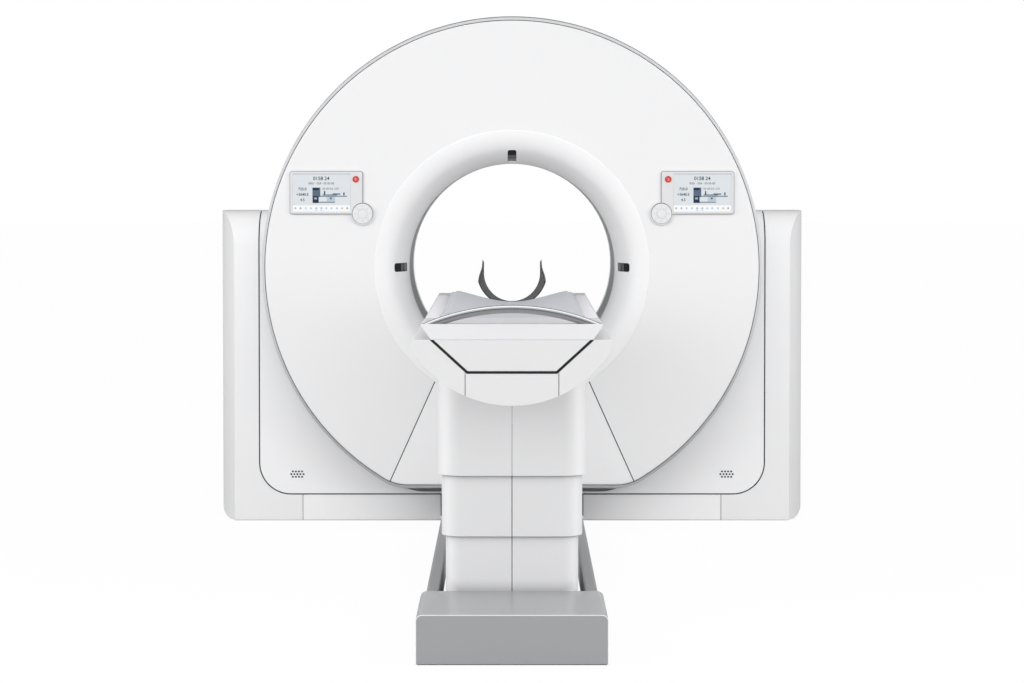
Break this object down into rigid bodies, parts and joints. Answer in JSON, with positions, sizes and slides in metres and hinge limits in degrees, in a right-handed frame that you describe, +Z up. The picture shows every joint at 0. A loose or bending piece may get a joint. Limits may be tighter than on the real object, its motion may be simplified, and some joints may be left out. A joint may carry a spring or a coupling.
{
  "type": "ct scanner",
  "caption": "Round ring-shaped imaging gantry with a flared bore on a floor housing, with a lifting patient table whose cradle slides into the bore.",
  "frame": {"origin": "on the floor, straight below the isocentre at the middle of the bore", "axes": "+Z up; +Y along the scan axis from the patient table into and through the bore; +X to the right as seen from the table's foot end"},
  "size_m": [2.338, 4.073, 1.9968],
  "materials": {
    "cover_white": "satin",
    "bore_grey": "matt",
    "table_white": "satin",
    "table_grey": "satin",
    "window_dark": "smooth",
    "display_white": "satin",
    "screen_face": "glossy, lit",
    "stop_red": "glossy",
    "control_grey": "satin",
    "frame_paint": "powder coat",
    "rotor_metal": "machined",
    "bearing_steel": "ground",
    "slip_ring_brass": "polished tracks",
    "coil_black": "cast resin",
    "steel_box": "smooth paint",
    "column_steel": "ground",
    "cradle_white": "smooth",
    "mat_grey": "coated fabric",
    "headrest_dark": "smooth",
    "liner_grey": "soft foam",
    "runner_plastic": "low friction"
  },
  "bodies": {
    "gantry": {"bearing_outer_ring": "bearing_steel", "bore_tube": "bore_grey", "brush_block": "coil_black", "drive_coils": "coil_black", "drum_band": "cover_white", "fixed_tier": "table_white", "front_cover": "cover_white", "front_funnel": "cover_white", "front_lower_cover": "cover_white", "front_rim": "cover_white", "front_toe_covers": "cover_white", "gantry_base_frame": "frame_paint", "laser_windows": "window_dark", "left_display_housing": "display_white", "left_floor_beam": "table_grey", "left_inner_panel": "cover_white", "left_screen": "screen_face", "left_wing_cover": "cover_white", "lift_column_outer": "column_steel", "rear_cover": "cover_white", "rear_funnel": "cover_white", "rear_panel": "cover_white", "rear_rim": "cover_white", "right_display_housing": "display_white", "right_floor_beam": "table_grey", "right_inner_panel": "cover_white", "right_screen": "screen_face", "right_wing_cover": "cover_white", "stator_frame": "frame_paint", "table_base_cover": "table_grey", "table_base_plate": "frame_paint"},
    "rotor": {"rotor_drum": "rotor_metal", "bearing_inner_ring": "bearing_steel", "slip_ring": "slip_ring_brass", "xray_tube": "steel_box", "collimator": "steel_box", "detector_array": "rotor_metal", "hv_generator": "steel_box"},
    "middle_stage": {"middle_tier": "table_white", "lift_column_middle": "column_steel"},
    "table": {"top_tier": "table_white", "lift_column_top": "column_steel", "table_housing": "table_white", "housing_front_panels": "table_white", "table_chassis_beam": "frame_paint"},
    "cradle": {"cradle_shell": "cradle_white", "cradle_foot_cap": "table_white", "cradle_end_panel": "table_white", "cradle_handle": "cradle_white", "cradle_runners": "runner_plastic", "cradle_mat": "mat_grey", "headrest_shell": "headrest_dark", "headrest_liner": "liner_grey", "headrest_bracket": "rotor_metal"},
    "left_stop_button": {"left_stop_button": "stop_red"},
    "left_dial_pad": {"left_dial_pad": "control_grey"},
    "left_dial_button": {"left_dial_button": "control_grey"},
    "right_stop_button": {"right_stop_button": "stop_red"},
    "right_dial_pad": {"right_dial_pad": "control_grey"},
    "right_dial_button": {"right_dial_button": "control_grey"}
  },
  "joints": [
    {"name": "rotor_spin", "type": "hinge", "parent": "gantry", "child": "rotor", "pos_m": [0, 0, 1.01], "axis": [0, 1, 0], "continuous": true},
    {"name": "table_lift", "type": "slide", "parent": "gantry", "child": "table", "axis": [0, 0, 1], "range_m": [-0.3, 0.06]},
    {"name": "middle_lift", "type": "slide", "parent": "gantry", "child": "middle_stage", "axis": [0, 0, 1], "range_m": [-0.15, 0.03]},
    {"name": "cradle_slide", "type": "slide", "parent": "table", "child": "cradle", "axis": [0, 1, 0], "range_m": [0, 1.7]},
    {"name": "left_stop_press", "type": "slide", "parent": "gantry", "child": "left_stop_button", "axis": [0, 1, 0], "range_m": [0, 0.002], "stiffness_N_per_m": 1500},
    {"name": "left_dial_pad_press", "type": "slide", "parent": "gantry", "child": "left_dial_pad", "axis": [0, 1, 0], "range_m": [0, 0.0015], "stiffness_N_per_m": 1500},
    {"name": "left_dial_button_press", "type": "slide", "parent": "gantry", "child": "left_dial_button", "axis": [0, 1, 0], "range_m": [0, 0.0015], "stiffness_N_per_m": 1500},
    {"name": "right_stop_press", "type": "slide", "parent": "gantry", "child": "right_stop_button", "axis": [0, 1, 0], "range_m": [0, 0.002], "stiffness_N_per_m": 1500},
    {"name": "right_dial_pad_press", "type": "slide", "parent": "gantry", "child": "right_dial_pad", "axis": [0, 1, 0], "range_m": [0, 0.0015], "stiffness_N_per_m": 1500},
    {"name": "right_dial_button_press", "type": "slide", "parent": "gantry", "child": "right_dial_button", "axis": [0, 1, 0], "range_m": [0, 0.0015], "stiffness_N_per_m": 1500}
  ],
  "couplings": [
    {"joint": "middle_lift", "follows": "table_lift", "ratio": 0.5}
  ]
}
